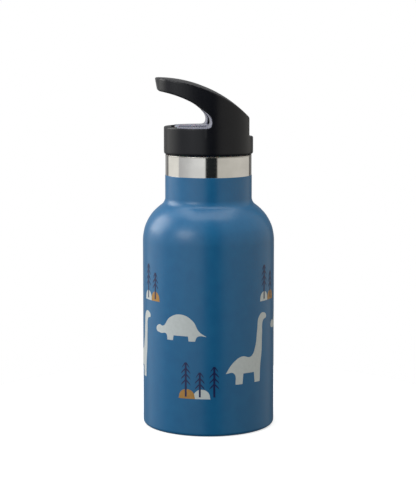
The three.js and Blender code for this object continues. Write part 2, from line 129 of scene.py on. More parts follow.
def rounded_face(bm, corners, segments):
    """A face in the XZ plane from [x, z, corner radius] entries, its corners rounded."""
    verts = [bm.verts.new((x, 0, z)) for x, z, _ in corners]
    bm.faces.new(verts)
    count = len(verts)
    turns = []
    for i in range(count):
        before = verts[i - 1].co - verts[i].co
        after = verts[(i + 1) % count].co - verts[i].co
        turns.append((math.pi - before.angle(after)) / 2)
    for vert, (_, _, radius), half in zip(verts, corners, turns):
        if radius > 0:
            bmesh.ops.bevel(bm, geom=[vert], offset=radius * math.tan(half),
                            offset_type="OFFSET", affect="VERTICES", segments=segments,
                            profile=0.5, material=-1, clamp_overlap=False)


def spun(corners, steps, segments):
    """A body turned about Z from its section's corners. The section may run down the axis."""
    bm = bmesh.new()
    rounded_face(bm, corners, segments)
    bmesh.ops.delete(bm, geom=bm.faces[:], context="FACES_ONLY")
    on_axis = [e for e in bm.edges if all(abs(v.co.x) < 1e-5 for v in e.verts)]
    bmesh.ops.delete(bm, geom=on_axis, context="EDGES")
    bmesh.ops.spin(bm, geom=bm.verts[:] + bm.edges[:], cent=(0, 0, 0), axis=(0, 0, 1),
                   dvec=(0, 0, 0), angle=math.tau, steps=steps, use_merge=True,
                   use_normal_flip=False, use_duplicate=False)
    bmesh.ops.remove_doubles(bm, verts=bm.verts[:], dist=1e-4)
    bmesh.ops.recalc_face_normals(bm, faces=bm.faces[:])
    return bm


def moved(bm, x=0, z=0):
    bmesh.ops.translate(bm, vec=(x, 0, z), verts=bm.verts[:])
    return bm


def turned(bm, degrees, axis):
    bmesh.ops.rotate(bm, cent=(0, 0, 0), verts=bm.verts[:],
                     matrix=Matrix.Rotation(math.radians(degrees), 3, axis))
    return bm


def rod(radius, z0, z1, x=0, edge=0.2, steps=48):
    """An upright rod with rounded edges."""
    return moved(spun([(0, z0, 0), (radius, z0, edge), (radius, z1, edge), (0, z1, 0)],
                      steps, 3), x)


def along_y(bm, x=0, z=0):
    """Lays a body that was made about Z on its side along Y, with its axis at x, z."""
    return moved(turned(bm, 90, "X"), x, z)


def block(low, high):
    """A box between two opposite corners."""
    bm = bmesh.new()
    bmesh.ops.create_cube(bm, size=1)
    low, high = Vector(low), Vector(high)
    bmesh.ops.scale(bm, vec=high - low, verts=bm.verts[:])
    bmesh.ops.translate(bm, vec=(low + high) / 2, verts=bm.verts[:])
    return bm


def joined(first, *others):
    """Puts several bodies in one mesh."""
    for other in others:
        spare = bpy.data.meshes.new("spare")
        other.to_mesh(spare)
        other.free()
        first.from_mesh(spare)
        bpy.data.meshes.remove(spare)
    return first


def set_object(name, bm, *materials):
    """Makes the object, in metres, smooth except at its sharp edges."""
    bmesh.ops.scale(bm, vec=(MM, MM, MM), verts=bm.verts[:])
    for face in bm.faces:
        face.smooth = True
    for edge in bm.edges:
        edge.smooth = edge.calc_face_angle(0) < SHARP_EDGE
    mesh = bpy.data.meshes.new(name)
    bm.to_mesh(mesh)
    bm.free()
    piece = bpy.data.objects.new(name, mesh)
    bpy.context.scene.collection.objects.link(piece)
    for material in materials:
        mesh.materials.append(material)
    return piece


def finished(piece):
    """Applies a piece's modifiers."""
    bpy.context.view_layer.update()
    graph = bpy.context.evaluated_depsgraph_get()
    mesh = bpy.data.meshes.new_from_object(piece.evaluated_get(graph))
    piece.modifiers.clear()
    old = piece.data
    piece.data = mesh
    bpy.data.meshes.remove(old)


def carved(name, body, steps, voxel, passes, material):
    """A moulding: bodies joined and cut in turn, its edges then softened to the mould's radius."""
    piece = set_object(name, body, material)
    tools = []
    for operation, bm in steps:
        tool = set_object("tool", bm)
        cut = piece.modifiers.new("cut", "BOOLEAN")
        cut.operation = operation
        cut.solver = "EXACT"
        cut.object = tool
        tools.append(tool)
    even = piece.modifiers.new("even", "REMESH")
    even.mode = "VOXEL"
    even.voxel_size = voxel * MM
    even.use_smooth_shade = True
    soften = piece.modifiers.new("soften", "SMOOTH")
    soften.factor = 0.5
    soften.iterations = passes
    finished(piece)
    for tool in tools:
        spare = tool.data
        bpy.data.objects.remove(tool)
        bpy.data.meshes.remove(spare)
    return piece


def mesh_of(curve):
    """Turns a curve into a closed mesh and removes the curve."""
    outline = bpy.data.objects.new("outline", curve)
    bpy.context.scene.collection.objects.link(outline)
    bpy.context.view_layer.update()
    graph = bpy.context.evaluated_depsgraph_get()
    mesh = bpy.data.meshes.new_from_object(outline.evaluated_get(graph))
    bm = bmesh.new()
    bm.from_mesh(mesh)
    bpy.data.objects.remove(outline)
    bpy.data.curves.remove(curve)
    bpy.data.meshes.remove(mesh)
    bmesh.ops.remove_doubles(bm, verts=bm.verts[:], dist=1e-3)
    return bm


# ------------------------------------------------------------------ materials


def linear(code):
    """An sRGB hex colour as the linear colour that a shader takes."""
    values = [int(code[i:i + 2], 16) / 255 for i in (1, 3, 5)]
    return [v / 12.92 if v <= 0.04045 else ((v + 0.055) / 1.055) ** 2.4 for v in values] + [1]


def add_node(tree, kind, links=None, **settings):
    """Adds a node. Settings are its properties or inputs; links join inputs to other outputs."""
    made = tree.nodes.new(kind)
    for name, value in settings.items():
        socket = name.replace("_", " ").title()
        if socket in made.inputs:
            made.inputs[socket].default_value = value
        else:
            setattr(made, name, value)
    for socket, source in (links or {}).items():
        tree.links.new(source, made.inputs[socket])
    return made


def finish_of(name, colour, roughness, metallic=0.0, ior=1.5, **extra):
    """A new material with its Principled shader set. Returns the material, tree and shader."""
    material = bpy.data.materials.new(name)
    material.use_nodes = True
    tree = material.node_tree
    shader = tree.nodes["Principled BSDF"]
    shader.inputs["Base Color"].default_value = linear(colour)
    shader.inputs["Roughness"].default_value = roughness
    shader.inputs["Metallic"].default_value = metallic
    if not metallic:
        shader.inputs["IOR"].default_value = ior
    for socket, value in extra.items():
        shader.inputs[socket.replace("_", " ")].default_value = value
    return material, tree, shader


def per_metre(millimetres):
    """A noise scale whose features are about this many millimetres across."""
    return 1 / (millimetres * MM)


def mottled(tree, shader, dark, light, grain):
    """Lets the base colour drift between two shades over grain millimetres."""
    place = add_node(tree, "ShaderNodeTexCoord")
    noise = add_node(tree, "ShaderNodeTexNoise", {"Vector": place.outputs["Object"]},
                     scale=per_metre(grain), detail=3.0)
    ramp = add_node(tree, "ShaderNodeValToRGB", {"Fac": noise.outputs["Fac"]})
    for stop, position, colour in zip(ramp.color_ramp.elements, (0.35, 0.65), (dark, light)):
        stop.position = position
        stop.color = linear(colour)
    tree.links.new(ramp.outputs["Color"], shader.inputs["Base Color"])


def stretched_noise(tree, grain, stretch, detail):
    """Noise on the piece's own coordinates, grain millimetres across before it is stretched."""
    place = add_node(tree, "ShaderNodeTexCoord")
    mapping = add_node(tree, "ShaderNodeMapping", {"Vector": place.outputs["Object"]},
                       scale=stretch)
    return add_node(tree, "ShaderNodeTexNoise", {"Vector": mapping.outputs["Vector"]},
                    scale=per_metre(grain), detail=detail)


def grained(tree, shader, grain, height, stretch=(1, 1, 1)):
    """A fine relief of noise, grain millimetres across and height millimetres deep."""
    noise = stretched_noise(tree, grain, stretch, 2.0)
    bump = add_node(tree, "ShaderNodeBump", {"Height": noise.outputs["Fac"]},
                    strength=1.0, distance=height * MM)
    tree.links.new(bump.outputs["Normal"], shader.inputs["Normal"])


def varied_roughness(tree, shader, grain, low, high, stretch=(1, 1, 1)):
    """Roughness that drifts between two values: handling marks and rub."""
    noise = stretched_noise(tree, grain, stretch, 4.0)
    spread = add_node(tree, "ShaderNodeMapRange", {"Value": noise.outputs["Fac"]},
                      from_min=0.3, from_max=0.7, to_min=low, to_max=high)
    tree.links.new(spread.outputs["Result"], shader.inputs["Roughness"])


def blue_powder_coat():
    # polyester powder, baked: a satin skin with a faint orange peel about 1 mm across
    material, tree, shader = finish_of("blue_powder_coat", "#156291", 0.3)
    mottled(tree, shader, "#14608F", "#166493", 6)
    grained(tree, shader, 0.9, 0.006)
    varied_roughness(tree, shader, 12, 0.28, 0.34)
    return material


def polished_steel():
    # drawn stainless steel, turned and buffed: near a mirror, with hair lines round the neck
    material, tree, shader = finish_of("polished_steel", "#D0CECA", 0.1, 1.0)
    mottled(tree, shader, "#CCCAC6", "#D4D2CE", 8)
    grained(tree, shader, 4, 0.002, (0.15, 0.15, 12))
    varied_roughness(tree, shader, 5, 0.07, 0.13, (0.2, 0.2, 6))
    return material


def satin_steel():
    # the liner, electropolished: bright but soft
    material, tree, shader = finish_of("satin_steel", "#BDBAB4", 0.28, 1.0)
    mottled(tree, shader, "#B6B3AD", "#C3C0BA", 5)
    grained(tree, shader, 3, 0.003, (0.2, 0.2, 8))
    varied_roughness(tree, shader, 6, 0.24, 0.33)
    return material


def black_polypropylene():
    # moulded in a spark-eroded tool: dark, dull, with a fine even grain
    material, tree, shader = finish_of("black_polypropylene", "#080A12", 0.32, ior=1.49,
                                       Specular_IOR_Level=0.34)
    mottled(tree, shader, "#070911", "#090B13", 4)
    grained(tree, shader, 0.45, 0.010)
    varied_roughness(tree, shader, 9, 0.29, 0.36)
    return material


def smoke_copolyester():
    # clear moulded plastic with a smoke-grey tint
    material, tree, shader = finish_of("smoke_copolyester", "#9A9CAE", 0.2, ior=1.57,
                                       Transmission_Weight=0.1)
    mottled(tree, shader, "#9698AA", "#9EA0B2", 7)
    grained(tree, shader, 2.5, 0.003)
    varied_roughness(tree, shader, 5, 0.15, 0.22)
    return material


def smoke_silicone():
    # moulded silicone, the same tint, softer and duller
    material, tree, shader = finish_of("smoke_silicone", "#9C9EAE", 0.38, ior=1.41,
                                       Subsurface_Weight=0.2, Subsurface_Scale=0.002)
    mottled(tree, shader, "#989AAA", "#A0A2B2", 5)
    grained(tree, shader, 0.7, 0.004)
    varied_roughness(tree, shader, 4, 0.34, 0.44)
    return material


def clear_silicone():
    # milky moulded silicone: light goes a little way in
    material, tree, shader = finish_of("clear_silicone", "#C9CACF", 0.4, ior=1.41,
                                       Subsurface_Weight=0.35, Subsurface_Scale=0.002)
    mottled(tree, shader, "#C3C4CA", "#CFD0D4", 4)
    grained(tree, shader, 0.6, 0.004)
    varied_roughness(tree, shader, 4, 0.35, 0.48)
    return material


def straw_polypropylene():
    # extruded natural polypropylene: milky, with faint draw lines along it
    material, tree, shader = finish_of("straw_polypropylene", "#DADFE2", 0.25, ior=1.49,
                                       Transmission_Weight=0.35)
    mottled(tree, shader, "#D5DADE", "#E0E4E6", 6)
    grained(tree, shader, 1.5, 0.003, (4, 4, 0.1))
    varied_roughness(tree, shader, 6, 0.21, 0.31)
    return material


def solder_glass():
    # a fused bead of dark sealing glass
    material, tree, shader = finish_of("solder_glass", "#3A3A38", 0.15, ior=1.6)
    mottled(tree, shader, "#30302E", "#454542", 1.5)
    grained(tree, shader, 1, 0.01)
    return material


def getter_powder():
    # pressed and sintered metal powder: dull, gritty
    material, tree, shader = finish_of("getter_powder", "#6E6C68", 0.75, 0.6)
    mottled(tree, shader, "#5F5D5A", "#7C7A75", 0.8)
    grained(tree, shader, 0.3, 0.03)
    return material


def screen_ink(name, colour, dark, light):
    # screen-printed epoxy ink: flat and slightly glossier than the coat, a little uneven
    material, tree, shader = finish_of(name, colour, 0.36)
    mottled(tree, shader, dark, light, 1.6)
    grained(tree, shader, 0.6, 0.004)
    varied_roughness(tree, shader, 3, 0.32, 0.42)
    return material


COAT = blue_powder_coat()
STEEL = polished_steel()
LINER = satin_steel()
BLACK = black_polypropylene()
SMOKE = smoke_copolyester()
SOFT_SMOKE = smoke_silicone()
SILICONE = clear_silicone()
STRAW = straw_polypropylene()
GLASS = solder_glass()
POWDER = getter_powder()
CREAM = screen_ink("cream_ink", "#C1C8C8", "#BEC5C5", "#C4CBCB")
OCHRE = screen_ink("ochre_ink", "#A87C3A", "#A37836", "#AD803E")
NAVY = screen_ink("navy_ink", "#0B1A4C", "#091848", "#0D1C50")


# ------------------------------------------------------------------ steel bottle


def arc_corners(centre, height, radius, start, end):
    """Three corners whose rounding together is an arc about a point, between two angles."""
    third = (end - start) / 3
    reach = radius / math.cos(third / 2)
    middles = [start + third * (k + 0.5) for k in range(3)]
    return [(centre + reach * math.cos(m), height + reach * math.sin(m), radius)
            for m in middles]


def shoulder_corners(inset):
    """The corners of the side, shoulder and neck fillet, for a face this far inside the coat."""
    centre = BODY_RADIUS - SHOULDER_ROUND
    turn = math.acos((NECK_RADIUS + NECK_FILLET - centre) / (SHOULDER_ROUND + NECK_FILLET))
    neck_bottom = SIDE_TOP + (SHOULDER_ROUND + NECK_FILLET) * math.sin(turn)
    big = SHOULDER_ROUND - inset
    small = NECK_FILLET + inset
    corners = arc_corners(centre, SIDE_TOP, big, 0, turn)
    corners.append((NECK_RADIUS - inset, neck_bottom - small * math.tan(turn / 2), small))
    return corners, neck_bottom + PAINTED_NECK


def bottle_shell():
    """The outer wall with its standing ring, painted up to a line on the neck."""
    outside, paint_line = shoulder_corners(0)
    inside, _ = shoulder_corners(SHELL_WALL)
    bare = NECK_RADIUS - PAINT_STEP
    ring = BODY_RADIUS - BASE_ROUND - BASE_RING
    bm = spun([
        (ring, 0, 0.2), (BODY_RADIUS, 0, BASE_ROUND), *outside,
        (NECK_RADIUS, paint_line, 0.15), (bare, paint_line + 0.05, 0), (bare, SHELL_TOP + 0.3, 0),
        (bare - SHELL_WALL, SHELL_TOP + 0.3, 0), (bare - SHELL_WALL, paint_line, 0),
        (NECK_RADIUS - SHELL_WALL, paint_line - 0.5, 0), *reversed(inside),
        (BODY_RADIUS - SHELL_WALL, SHELL_WALL, 1.5), (ring, SHELL_WALL, 0),
    ], 192, 6)
    for face in bm.faces:
        bare_steel = face.calc_center_median().z > paint_line + 0.02
        face.material_index = int(bare_steel)
    return set_object("bottle_shell", bm, COAT, STEEL)


def thread_ridge(root, tip, top, angle, turns, steps):
    """A ridge swept down a helix from its highest point, which is at this angle in degrees."""
    bm = bmesh.new()
    edge = 0.25
    corners = [(root, -0.9, 0), (tip, -0.45, edge), (tip, 0.45, edge), (root, 0.9, 0)]
    rounded_face(bm, corners, 3)
    turned(moved(bm, z=top), angle, "Z")
    bmesh.ops.spin(bm, geom=bm.verts[:] + bm.edges[:] + bm.faces[:], cent=(0, 0, 0),
                   axis=(0, 0, -1), dvec=(0, 0, -LEAD * turns / steps),
                   angle=math.tau * turns, steps=steps, use_merge=False,
                   use_normal_flip=False, use_duplicate=True)
    bmesh.ops.remove_doubles(bm, verts=bm.verts[:], dist=1e-4)
    bmesh.ops.recalc_face_normals(bm, faces=bm.faces[:])
    return bm


def thread(root, tip, top, turns):
    """One ridge for each start, evenly round the axis."""
    steps = round(90 * turns)
    ridges = [thread_ridge(root, tip, top, 360 * k / STARTS, turns, steps)
              for k in range(STARTS)]
    return joined(*ridges)


MOUTH_RADIUS = NECK_RADIUS - 1.7
PLUG_RADIUS = base_high.x
THREAD_TOP = LIP_TOP - 3.6


def liner():
    """The inner wall, rolled over at the lip, with its floor and the thread in its mouth."""
    centre = BODY_RADIUS - SHOULDER_ROUND
    neck = MOUTH_RADIUS + LINER_WALL

    def shoulder_of(inset):
        radius = LINER_RADIUS - inset
        reach = neck - inset
        shoulder = radius - centre
        turn = math.acos((reach - centre) / shoulder)
        end = (reach, SIDE_TOP + shoulder * math.sin(turn), 0)
        return [*arc_corners(centre, SIDE_TOP, shoulder, 0, turn), end]

    bare = NECK_RADIUS - PAINT_STEP
    wall = spun([
        (LINER_RADIUS, FLOOR, 0), *shoulder_of(0), (neck, LIP_TOP - 0.6, 0.1),
        (bare, LIP_TOP - 0.6, 0.1), (bare, LIP_TOP, 0.28), (MOUTH_RADIUS, LIP_TOP, 0.2),
        *reversed(shoulder_of(LINER_WALL)), (LINER_RADIUS - LINER_WALL, FLOOR, 0),
    ], ROUND_STEPS, 8)
    rim = LINER_RADIUS - LINER_WALL
    floor = spun([(0, FLOOR, 0), (rim, FLOOR, 0), (rim, FLOOR + LINER_WALL + 0.6, 0.3),
                  (rim - 1.4, FLOOR + LINER_WALL, 0.8), (0, FLOOR + LINER_WALL, 0)], 120, 4)
    ridges = thread(MOUTH_RADIUS + LINER_WALL / 2, MOUTH_RADIUS - 1.1, THREAD_TOP, 0.68)
    return set_object("steel_liner", joined(wall, floor, ridges), LINER)


def base_plate():
    """The pressed plate in the standing ring, with a dimple round the vent."""
    rim = plate_high.x
    low, recess, wall = plate_low.z, 1.5, 0.6
    dimple = 1.3
    bm = spun([
        (0.8, recess + dimple, 0), (4, recess + dimple, 0.3), (5, recess, 0.3),
        (rim - 2.4, recess, 1), (rim - 0.8, low, 0.6), (rim, low, 0), (rim, low + wall, 0),
        (rim - 0.8, low + wall, 0.3), (rim - 2.4, recess + wall, 1), (5, recess + wall, 0.3),
        (4, recess + dimple + wall, 0.3), (0.8, recess + dimple + wall, 0),
    ], 120, 4)
    return set_object("base_plate", bm, LINER)


def base_cover():
    radius = disc_high.x
    bm = spun([(0, disc_low.z, 0), (radius, disc_low.z, 0.15), (radius, disc_high.z, 0),
               (0, disc_high.z, 0)], 96, 3)
    return set_object("base_cover", bm, STEEL)


# ------------------------------------------------------------------ lid


def prism(knots, half_depth):
    """A slab along Z from closed Bezier knots of (point, left handle, right handle)."""
    curve = bpy.data.curves.new("side", "CURVE")
    curve.dimensions = "2D"
    curve.fill_mode = "BOTH"
    curve.extrude = half_depth
    curve.resolution_u = 24
    spline = curve.splines.new("BEZIER")
    spline.bezier_points.add(len(knots) - 1)
    spline.use_cyclic_u = True
    for knot, (at, left, right) in zip(spline.bezier_points, knots):
        knot.handle_left_type = knot.handle_right_type = "FREE"
        knot.co = (*at, 0)
        knot.handle_left = (*left, 0)
        knot.handle_right = (*right, 0)
    return mesh_of(curve)


CROWN_FLAT = 8
CROWN_RADIUS = 100


def corner(x, z):
    """A sharp knot."""
    return (x, z), (x, z), (x, z)


def crest():
    """The handle's top line, from the flat back to the tip."""
    return [
        ((BACK, BACK_TOP), (BACK, BACK_TOP), (5.5, HANDLE_TOP - 4.6)),
        ((-HANDLE_REACH, HANDLE_TOP - 0.1), (-12.5, HANDLE_TOP + 0.2),
         (-HANDLE_REACH, HANDLE_TOP - 0.1)),
    ]


def handle_side():
    """The handle from the side: crest, tip, underside and root, as a slab across Y."""
    tip_bottom = HANDLE_TOP - 7
    under = HANDLE_UNDER
    knots = [
        corner(BACK, LEDGE),
        *crest(),
        ((-HANDLE_REACH + 1.5, tip_bottom), (-HANDLE_REACH + 1.5, tip_bottom),
         (-18, tip_bottom - 1.4)),
        ((-2.6, under), (-8.5, tip_bottom - 5.4), (-1.07, under - 1.33)),
        ((0, under - 4.4), (-0.2, under - 2.8), (0, under - 4.4)),
        ((0, DECK + 2.7), (0, DECK + 2.7), (0, DECK + 0.9)),
        ((HANDLE_ROOT, DECK), (-0.9, DECK), (HANDLE_ROOT, DECK)),
        corner(HANDLE_ROOT, LEDGE),
    ]
    return crowned(along_y(prism(knots, 2 * LID_RADIUS)))


def crowned(bm):
    """Lets the handle's crest fall away towards both its sides, from CROWN_FLAT outwards."""
    along = [e for e in bm.edges if abs(e.verts[0].co.y - e.verts[1].co.y) > 1]
    bmesh.ops.subdivide_edges(bm, edges=along, cuts=63)
    for vert in bm.verts:
        # this slope runs inside the handle, between its underside and its crest
        inside = DECK + 4 + 0.35 * (BACK - vert.co.x)
        if vert.co.z > inside:
            vert.co.z -= max(abs(vert.co.y) - CROWN_FLAT, 0) ** 2 / (2 * CROWN_RADIUS)
    return bm


def lid_plan():
    """The lid from above: round at the back, a fuller oval towards the handle's tip."""
    r, reach = LID_RADIUS, HANDLE_REACH
    circle = 0.5523 * r
    fuller = 0.784
    knots = [
        ((0, -r), (-reach * fuller, -r), (circle, -r)),
        ((r, 0), (r, -circle), (r, circle)),
        ((0, r), (circle, r), (-reach * fuller, r)),
        ((-reach, 0), (-reach, r * fuller), (-reach, -r * fuller)),
    ]
    return moved(prism(knots, 25), z=HANDLE_TOP - 10)


SKIRT_WALL = 2
WELL_HALF = SPOUT_WIDTH / 2 + 1.8
WELL_FLOOR = spout_low.z - GAP
WELL_END = tip_low.x - 1.2
DRUM_RADIUS = spout_high.x - PIVOT_X
SLOT_BACK = spout_high.x + 1.5
SLOT_FRONT = -14
SEAL_BOTTOM = PIVOT_Z - DRUM_RADIUS - 2.9


def lid():
    """Skirt, deck and handle in one moulding, with the spout's well and slot cut in it."""
    cover = spun([(0, SKIRT_BOTTOM, 0), (LID_RADIUS, SKIRT_BOTTOM, 1.0),
                  (LID_RADIUS, DECK, 0.5), (0, DECK, 0)], 192, 4)
    back = block((BACK, -60, LEDGE), (60, 60, DECK + 1))
    well = block((WELL_END, -WELL_HALF, WELL_FLOOR), (SLOT_BACK, WELL_HALF, DECK + 0.3))
    slot = block((SLOT_FRONT, -WELL_HALF, DECK - 0.1), (SLOT_BACK, WELL_HALF, HANDLE_TOP + 1))
    pocket = rod(5.8, SEAL_BOTTOM - GAP, WELL_FLOOR + 1, PIVOT_X)
    drum = along_y(rod(DRUM_RADIUS + GAP, -WELL_HALF, WELL_HALF, steps=64), PIVOT_X, PIVOT_Z)
    pins = along_y(rod(PIN_HOLE_RADIUS, -14.3, 14.3), PIVOT_X, PIVOT_Z)
    air = rod(0.9, SEAL_BOTTOM, WELL_FLOOR + 1, valve_low.x / 2 + valve_high.x / 2)
    recess = rod(LID_RADIUS - SKIRT_WALL, SKIRT_BOTTOM - 1, plug_high.z + GAP, steps=96)
    steps = [("INTERSECT", lid_plan()), ("UNION", cover), ("DIFFERENCE", back),
             ("DIFFERENCE", well), ("DIFFERENCE", slot), ("DIFFERENCE", pocket),
             ("DIFFERENCE", drum), ("DIFFERENCE", pins), ("DIFFERENCE", air),
             ("DIFFERENCE", recess)]
    return carved("lid_cap", handle_side(), steps, 0.42, 6, BLACK)


def deck_reflection_strip():
    """A smoke-grey strip on the deck, on both sides of the spout and up the handle's root: a
    painted reflection of the bright room on the black deck and root.
    """
    under = HANDLE_UNDER
    root = HANDLE_ROOT
    front = -17.5
    sunk = 0.55
    proud = 0.15
    knots = [
        corner(front, DECK - sunk),
        ((root, DECK - sunk), (root, DECK - sunk), (sunk - 0.9, DECK - sunk)),
        ((sunk, DECK + 2.7), (sunk, DECK + 0.9 - sunk), (sunk, DECK + 2.7)),
        ((sunk, under - 4.4), (sunk, under - 4.4), (sunk - 0.2, under - 2.8)),
        ((-2.24, under + 0.41), (-0.71, under - 0.92), (-2.24, under + 0.41)),
        ((root, under - 0.11), (root, under - 0.11), (-1.17, under - 1.44)),
        ((-proud, under - 4.4), (-proud - 0.2, under - 2.8), (-proud, under - 4.4)),
        ((-proud, DECK + 2.7), (-proud, DECK + 2.7), (-proud, DECK + 0.9 + proud)),
        ((root, DECK + proud), (-0.9 - proud, DECK + proud), (root, DECK + proud)),
        corner(front, DECK + proud),
    ]
    round_plan = rod(LID_RADIUS - 0.1, DECK - 2, DECK + 12, steps=ROUND_STEPS)
    well = block((-22, -WELL_HALF, DECK - 2), (5, WELL_HALF, DECK + 12))
    return carved("deck_reflection_strip", along_y(prism(knots, LID_RADIUS + 2)),
                  [("INTERSECT", round_plan), ("DIFFERENCE", well)], 0.22, 3, SMOKE)


def plug():
    """The ring welded into the lid, with the thread that screws into the liner."""
    inside = PLUG_RADIUS - 2
    flange = LID_RADIUS - SKIRT_WALL - GAP
    top = plug_high.z - 1.8
    ring = spun([
        (inside, plug_low.z, 0.4), (PLUG_RADIUS, plug_low.z, 0.5), (PLUG_RADIUS, top, 0.3),
        (flange, top, 0.3), (flange, plug_high.z, 0.4), (inside, plug_high.z, 0.3),
    ], ROUND_STEPS, 3)
    first = THREAD_TOP - PITCH / 2 + 0.3
    ridges = thread(PLUG_RADIUS - 0.5, PLUG_RADIUS + 1.2, first, 0.6)
    return set_object("plug_body", joined(ring, ridges), BLACK)


def gasket():
    """The plug's sealing ring, with two lips and a waist between them."""
    inside, outside = PLUG_RADIUS + 0.3, gasket_high.x
    low, high = gasket_low.z, gasket_high.z
    waist = (low + high) / 2
    bm = spun([
        (inside, low, 0.1), (outside, low, 0.4), (outside, waist - 0.4, 0.3),
        (outside - 0.35, waist, 0.2), (outside, waist + 0.4, 0.3), (outside, high, 0.4),
        (inside, high, 0.1),
    ], ROUND_STEPS, 4)
    return set_object("neck_ring", bm, SILICONE)


def plug_floor():
    """Closes the plug, and carries the drinking channel and the straw's socket."""
    top = base_high.z
    low = base_low.z
    under = straw_high.z + GAP
    over = under + 1.8
    disc = rod(PLUG_RADIUS, under, over, edge=0.4, steps=ROUND_STEPS)
    return carved("plug_floor", disc, [
        ("UNION", rod(3.5, over - 0.5, top, PIVOT_X)),
        ("UNION", rod(5.2, low, under + 0.5, PIVOT_X, edge=0.3)),
        ("DIFFERENCE", rod(2.2, low - 1, top + 1, PIVOT_X)),
        ("DIFFERENCE", rod(3.8, low - 1, under, PIVOT_X)),
    ], 0.35, 3, BLACK)


def valve():
    """An umbrella valve: a thin cap, a stem and a bead that holds it in its hole."""
    x = (valve_low.x + valve_high.x) / 2
    cap = valve_high.x - x
    low, high = valve_low.z, valve_high.z
    seat = low + 1.1
    bead = high - 2.4
    bm = spun([
        (0, low, 0), (cap * 0.6, low + 0.15, 1.5), (cap, seat - 0.3, 0.15), (cap, seat, 0.1),
        (1.1, seat, 0.1), (1.1, bead, 0.1), (1.9, bead, 0.2), (1.9, bead + 0.5, 0.3),
        (0.75, high, 0.5), (0, high, 0),
    ], 48, 4)
    return set_object("air_valve", moved(bm, x), SILICONE)


def straw():
    outside = straw_high.x - PIVOT_X
    inside = outside - 0.8
    bm = spun([
        (inside, straw_low.z, 0.1), (outside, straw_low.z, 0.2),
        (outside, straw_high.z, 0.2), (inside, straw_high.z, 0.1),
    ], 64, 3)
    return set_object("drinking_straw", moved(bm, PIVOT_X), STRAW)


# ------------------------------------------------------------------ spout

SPOUT_HALF = (spout_high.z - spout_low.z) / 2
SPOUT_LENGTH = PIVOT_X - tip_low.x
CARRIER = PIVOT_X - tip_high.x - GAP


def slab(corners, half_depth):
    """A rounded face in the XZ plane, made thick to both sides along Y."""
    bm = bmesh.new()
    rounded_face(bm, corners, 6)
    out = bmesh.ops.extrude_face_region(bm, geom=bm.faces[:], use_keep_orig=True)
    far = [g for g in out["geom"] if isinstance(g, bmesh.types.BMVert)]
    bmesh.ops.translate(bm, vec=(0, 2 * half_depth, 0), verts=far)
    bmesh.ops.translate(bm, vec=(0, -half_depth, 0), verts=bm.verts[:])
    bmesh.ops.recalc_face_normals(bm, faces=bm.faces[:])
    return bm


def spout_part(near, far, plan_round, side_round):
    """The tapering block between two distances from the pivot: its side and its plan."""
    def half(distance):
        return SPOUT_WIDTH / 2 - 1.5 * distance / SPOUT_LENGTH

    x0, x1 = PIVOT_X - near, PIVOT_X - far
    side = slab([(x0, PIVOT_Z - SPOUT_HALF, 0), (x0, PIVOT_Z + SPOUT_HALF, 0),
                 (x1, PIVOT_Z + SPOUT_HALF, side_round),
                 (x1, PIVOT_Z - SPOUT_HALF, side_round)], SPOUT_WIDTH)
    plan = slab([(x0, -half(near), 0), (x0, half(near), 0), (x1, half(far), plan_round),
                 (x1, -half(far), plan_round)], 20)
    return side, moved(turned(plan, -90, "X"), z=PIVOT_Z)


def across_x(radius, x0, x1):
    """A rod along X, at the pivot's height."""
    return moved(turned(rod(radius, x0, x1), 90, "Y"), z=PIVOT_Z)


def spout():
    """The arm that turns on its drum, with a spigot for the mouthpiece."""
    side, plan = spout_part(0, CARRIER, 0.4, 0.4)
    drum = along_y(rod(DRUM_RADIUS, -SPOUT_WIDTH / 2, SPOUT_WIDTH / 2, edge=0.4, steps=64),
                   PIVOT_X, PIVOT_Z)
    start = PIVOT_X - CARRIER
    return carved("spout_arm", side, [
        ("INTERSECT", plan), ("UNION", drum), ("UNION", across_x(3.3, start - 7, start + 1)),
        ("DIFFERENCE", across_x(CHANNEL_RADIUS, tip_low.x - 1, spout_high.x + 1)),
        ("DIFFERENCE", along_y(rod(PIN_HOLE_RADIUS, 3.7, 9), PIVOT_X, PIVOT_Z)),
        ("DIFFERENCE", along_y(rod(PIN_HOLE_RADIUS, -9, -3.7), PIVOT_X, PIVOT_Z)),
    ], 0.25, 4, SMOKE)


def mouthpiece():
    """The soft tip, pushed over the spigot."""
    side, plan = spout_part(CARRIER + GAP, SPOUT_LENGTH, 3.5, 3)
    start = PIVOT_X - CARRIER
    return carved("bite_tip", side, [
        ("INTERSECT", plan),
        ("DIFFERENCE", across_x(3.6, start - 7.3, start + 1)),
        ("DIFFERENCE", across_x(CHANNEL_RADIUS, tip_low.x - 1, start)),
    ], 0.25, 6, SOFT_SMOKE)


# ------------------------------------------------------------------ make everything

made = [
    (bottle_shell(), "bottle", "powder_coat", ("outer_shell",)),
    (liner(), "bottle", "bare_steel", ("inner_liner", "liner_floor")),
    (base_plate(), "bottle", "bare_steel", ("bottom_plate",)),
    (base_cover(), "bottle", "bare_steel", ("base_disc",)),
    (gasket(), "seal_ring", "clear_silicone", ("neck_gasket",)),
    (lid(), "lid", "lid_black", ("lid_shell",)),
    # a light grey strip on the lid that stands for the painted reflection of the bright room on
    # the black deck
    (deck_reflection_strip(), "lid", "spout_smoke", ()),
    (plug(), "lid", "lid_black", ("lid_plug",)),
    (plug_floor(), "lid", "lid_black", ("plug_base",)),
    (valve(), "lid", "clear_silicone", ("vent_valve",)),
    (spout(), "spout", "spout_smoke", ("spout",)),
    (mouthpiece(), "spout", "mouthpiece_smoke", ("mouthpiece",)),
    (straw(), "straw", "straw_plastic", ("straw",)),
]
for piece, body, slot, nodes in made:
    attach(piece, body)
    if nodes:
        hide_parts(*nodes)

kept = {
    "vacuum_seal": GLASS, "getter_holder": LINER, "getter": POWDER, "spout_seal": SILICONE,
    "spout_pin_near": STEEL, "spout_pin_far": STEEL, "pin_bush_near": SILICONE,
    "pin_bush_far": SILICONE,
}
for node, material in kept.items():
    part = frame["nodes"][node]
    part.data.materials.clear()
    part.data.materials.append(material)


